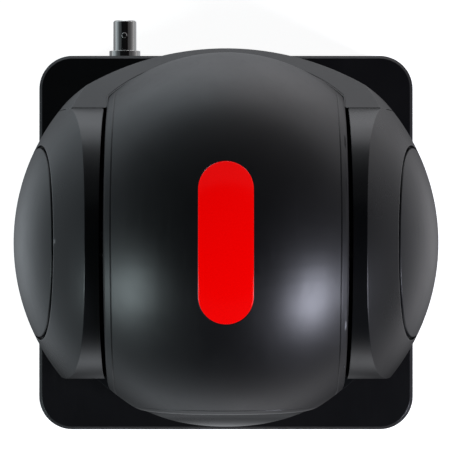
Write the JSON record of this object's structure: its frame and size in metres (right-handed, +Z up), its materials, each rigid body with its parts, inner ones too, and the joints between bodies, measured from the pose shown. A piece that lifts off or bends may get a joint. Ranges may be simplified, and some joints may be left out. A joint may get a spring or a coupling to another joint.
{
  "type": "pan tilt zoom camera",
  "caption": "Black video camera: a ball-shaped head tilts in a round yoke that pans on a square base with sockets along its back.",
  "frame": {"origin": "mouth of the tripod thread, in the middle of the base's underside", "axes": "+Z up along the pan axis, -Y the way the lens looks at rest, +X to the right for a viewer in front of the lens"},
  "size_m": [0.1638, 0.1701, 0.2016],
  "materials": {
    "base_plastic": "fine satin grain",
    "cover_gloss": "semi-gloss",
    "head_plastic": "satin, fine grain",
    "yoke_plastic": "satin, fine grain",
    "cap_plastic": "satin",
    "bezel_gloss": "gloss",
    "tally_red": "translucent red",
    "dark_window": "gloss, passes infrared",
    "light_guide": "frosted",
    "panel_paint": "fine powder coat",
    "plate_steel": "zinc plated",
    "bright_steel": "turned",
    "foot_rubber": "matt",
    "belt_rubber": "ribbed inside",
    "brass": "turned",
    "nickel": "nickel plated",
    "socket_black": "moulded",
    "insulator": "white, waxy",
    "board_green": "solder mask",
    "bearing_plastic": "natural, waxy",
    "motor_metal": "drawn can",
    "machined_aluminium": "machined",
    "inner_plastic": "matt black",
    "lens_glass": "coated",
    "rocker_black": "satin"
  },
  "bodies": {
    "base": {"base_shell": "base_plastic", "base_cover": "cover_gloss", "bottom_plate": "plate_steel", "base_screws": "bright_steel", "rubber_feet": "foot_rubber", "tripod_insert": "brass", "main_board": "board_green", "rear_panel": "panel_paint", "video_port": "nickel", "network_port": "nickel", "data_port": "nickel", "dc_jack": "socket_black", "coax_shell": "nickel", "coax_insulator": "insulator", "coax_contact": "brass", "power_switch_frame": "base_plastic", "ir_window": "dark_window", "status_light": "light_guide", "pan_bearing": "bearing_plastic", "pan_motor": "motor_metal", "pan_belt": "belt_rubber"},
    "turntable": {"turntable_hub": "machined_aluminium", "pan_pulley": "machined_aluminium", "turntable_cover": "yoke_plastic", "rear_cowl": "yoke_plastic", "arm_cover_left": "yoke_plastic", "arm_cover_right": "yoke_plastic", "side_cap_left": "cap_plastic", "side_cap_right": "cap_plastic", "yoke_frame": "plate_steel", "tilt_bushes": "bearing_plastic", "tilt_motor": "motor_metal", "tilt_belt": "belt_rubber"},
    "head": {"head_shell_upper": "head_plastic", "head_shell_lower": "head_plastic", "head_side_left": "head_plastic", "head_side_right": "head_plastic", "tally_lens": "tally_red", "tally_board": "board_green", "front_bezel": "bezel_gloss", "lens_trim_ring": "bezel_gloss", "lens_barrel": "inner_plastic", "front_lens": "lens_glass", "guide_rods": "bright_steel", "lens_motors": "motor_metal", "sensor_board": "board_green", "head_chassis": "machined_aluminium", "tilt_shaft_left": "bright_steel", "tilt_shaft_right": "bright_steel", "tilt_pulley": "machined_aluminium"},
    "pan_rotor": {"pan_motor_pulley": "machined_aluminium"},
    "tilt_rotor": {"tilt_motor_pulley": "machined_aluminium"},
    "zoom_group": {"zoom_cell": "inner_plastic", "zoom_lens": "lens_glass"},
    "focus_group": {"focus_cell": "inner_plastic", "focus_lens": "lens_glass"},
    "zoom_drive": {"zoom_screw": "bright_steel"},
    "focus_drive": {"focus_screw": "bright_steel"},
    "rocker": {"power_rocker": "rocker_black"}
  },
  "joints": [
    {"name": "pan", "type": "hinge", "parent": "base", "child": "turntable", "pos_m": [0, 0, 0.043], "axis": [0, 0, 1], "range_deg": [-170, 170]},
    {"name": "tilt", "type": "hinge", "parent": "turntable", "child": "head", "pos_m": [0, 0, 0.127], "axis": [-1, 0, 0], "range_deg": [-30, 90]},
    {"name": "pan_motor_spin", "type": "hinge", "parent": "base", "child": "pan_rotor", "pos_m": [0.048, -0.046, 0.028], "axis": [0, 0, 1], "range_deg": [-681, 681]},
    {"name": "tilt_motor_spin", "type": "hinge", "parent": "turntable", "child": "tilt_rotor", "pos_m": [0.0555, 0, 0.082], "axis": [-1, 0, 0], "range_deg": [-121, 361]},
    {"name": "zoom_slide", "type": "slide", "parent": "head", "child": "zoom_group", "axis": [0, 1, 0], "range_m": [0, 0.014]},
    {"name": "focus_slide", "type": "slide", "parent": "head", "child": "focus_group", "axis": [0, 1, 0], "range_m": [0, 0.01]},
    {"name": "zoom_screw_spin", "type": "hinge", "parent": "head", "child": "zoom_drive", "pos_m": [0.0185, 0, 0.127], "axis": [0, 1, 0], "range_deg": [0, 2521]},
    {"name": "focus_screw_spin", "type": "hinge", "parent": "head", "child": "focus_drive", "pos_m": [-0.0185, 0, 0.127], "axis": [0, 1, 0], "range_deg": [0, 1801]},
    {"name": "power_switch", "type": "hinge", "parent": "base", "child": "rocker", "pos_m": [-0.056, 0.0735, 0.0231], "axis": [1, 0, 0], "range_deg": [0, 14]}
  ],
  "couplings": [
    {"joint": "pan_motor_spin", "follows": "pan", "ratio": 4},
    {"joint": "tilt_motor_spin", "follows": "tilt", "ratio": 4},
    {"joint": "zoom_screw_spin", "follows": "zoom_slide", "rad_per_m": 3141.6},
    {"joint": "focus_screw_spin", "follows": "focus_slide", "rad_per_m": 3141.6}
  ]
}
